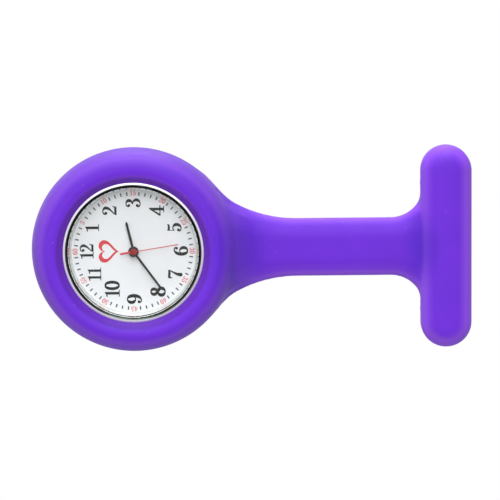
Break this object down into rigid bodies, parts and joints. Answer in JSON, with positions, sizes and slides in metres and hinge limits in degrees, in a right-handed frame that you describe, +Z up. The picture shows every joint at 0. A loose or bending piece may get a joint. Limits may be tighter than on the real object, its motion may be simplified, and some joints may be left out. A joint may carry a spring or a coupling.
{
  "type": "silicone fob watch",
  "caption": "Round quartz watch in a one-piece silicone jacket that hangs by a flat neck from a T-bar with a locking brooch pin; dial with hours and a minute track.",
  "frame": {"origin": "middle of the brooch pin's axis, behind the T-bar", "axes": "upright as worn: +Z up through the T-bar, -Y out of the dial, +Y towards the wearer, -X to the dial's 3 o'clock and the crown; 12 o'clock points down"},
  "size_m": [0.04, 0.0147, 0.0862],
  "materials": {
    "silicone": "satin silicone",
    "steel": "polished",
    "chrome": "polished",
    "glass": "clear mineral glass",
    "black_rubber": "matte",
    "dial_white": "white lacquer with printed hours",
    "black_paint": "black lacquer",
    "red_paint": "red lacquer",
    "brass": "machined",
    "white_plastic": "moulded",
    "grey_plastic": "moulded",
    "copper": "enamelled copper winding",
    "iron": "soft iron",
    "board": "green board",
    "chip": "moulded"
  },
  "bodies": {
    "fob_bar": {"jacket_bar": "silicone", "brooch_plate": "steel", "brooch_rivet": "steel", "catch_housing": "steel"},
    "pin_body": {"brooch_pin": "steel"},
    "lock_body": {"catch_lock": "steel"},
    "watch_head": {"jacket_head": "silicone", "case": "chrome", "case_back": "steel", "case_back_gasket": "black_rubber", "crystal": "glass", "crystal_gasket": "black_rubber", "rehaut": "steel", "dial": "dial_white", "main_plate": "white_plastic", "train_bridge": "steel", "bridge_screws": "steel", "coil_core": "iron", "coil_winding": "copper", "stator": "iron", "quartz_crystal": "steel", "circuit_board": "board", "ic_chip": "chip", "battery": "steel", "battery_clip": "steel", "movement_holder": "grey_plastic", "crown_tube": "steel", "yoke": "steel"},
    "second_body": {"second_hand": "red_paint", "fourth_wheel": "brass"},
    "minute_body": {"minute_hand": "black_paint", "centre_wheel": "brass"},
    "hour_body": {"hour_hand": "black_paint", "hour_wheel": "brass"},
    "minute_wheel_body": {"minute_wheel": "brass"},
    "third_body": {"third_wheel": "brass"},
    "fifth_body": {"fifth_wheel": "brass"},
    "rotor_body": {"rotor_magnet": "iron", "rotor_pinion": "steel"},
    "clutch_body": {"sliding_pinion": "steel"},
    "crown_body": {"crown": "chrome", "stem": "steel", "crown_seal": "black_rubber"},
    "lever_body": {"setting_lever": "steel"}
  },
  "joints": [
    {"name": "neck_flex", "type": "hinge", "parent": "fob_bar", "child": "watch_head", "pos_m": [0, -0.0056, -0.0197], "axis": [-1, 0, 0], "range_deg": [-30, 90], "stiffness_Nm_per_rad": 0.008},
    {"name": "pin_hinge", "type": "hinge", "parent": "fob_bar", "child": "pin_body", "pos_m": [0.0134, 0, 0], "axis": [0, 0, -1], "range_deg": [0, 100]},
    {"name": "catch_turn", "type": "hinge", "parent": "fob_bar", "child": "lock_body", "pos_m": [-0.0139, 0, 0], "axis": [-1, 0, 0], "range_deg": [0, 100]},
    {"name": "second_turn", "type": "hinge", "parent": "watch_head", "child": "second_body", "pos_m": [0, -0.0066, -0.0612], "axis": [0, 1, 0], "continuous": true},
    {"name": "minute_turn", "type": "hinge", "parent": "watch_head", "child": "minute_body", "pos_m": [0, -0.0066, -0.0612], "axis": [0, 1, 0], "continuous": true},
    {"name": "hour_turn", "type": "hinge", "parent": "watch_head", "child": "hour_body", "pos_m": [0, -0.0066, -0.0612], "axis": [0, 1, 0], "continuous": true},
    {"name": "minute_wheel_turn", "type": "hinge", "parent": "watch_head", "child": "minute_wheel_body", "pos_m": [-0.0018, -0.0066, -0.0612], "axis": [0, 1, 0], "continuous": true},
    {"name": "third_turn", "type": "hinge", "parent": "watch_head", "child": "third_body", "pos_m": [-0.00171, -0.0066, -0.06219], "axis": [0, 1, 0], "continuous": true},
    {"name": "fifth_turn", "type": "hinge", "parent": "watch_head", "child": "fifth_body", "pos_m": [0.00083, -0.0066, -0.06037], "axis": [0, 1, 0], "continuous": true},
    {"name": "rotor_turn", "type": "hinge", "parent": "watch_head", "child": "rotor_body", "pos_m": [0.00164, -0.0066, -0.05956], "axis": [0, 1, 0], "continuous": true},
    {"name": "crown_turn", "type": "hinge", "parent": "watch_head", "child": "clutch_body", "pos_m": [-0.006, -0.00675, -0.0612], "axis": [-1, 0, 0], "continuous": true},
    {"name": "crown_pull", "type": "slide", "parent": "clutch_body", "child": "crown_body", "axis": [-1, 0, 0], "range_m": [0, 0.001]},
    {"name": "setting_lever_turn", "type": "hinge", "parent": "watch_head", "child": "lever_body", "pos_m": [-0.00775, -0.006, -0.0592], "axis": [0, 1, 0], "range_deg": [-1, 29.5]}
  ],
  "couplings": [
    {"joint": "minute_turn", "follows": "second_turn", "ratio": 0.016667},
    {"joint": "hour_turn", "follows": "second_turn", "ratio": 0.0013889},
    {"joint": "minute_wheel_turn", "follows": "second_turn", "ratio": -0.0055556},
    {"joint": "third_turn", "follows": "second_turn", "ratio": -0.13333},
    {"joint": "fifth_turn", "follows": "second_turn", "ratio": -5},
    {"joint": "rotor_turn", "follows": "second_turn", "ratio": 30},
    {"joint": "setting_lever_turn", "follows": "crown_pull", "rad_per_m": 490.2}
  ]
}
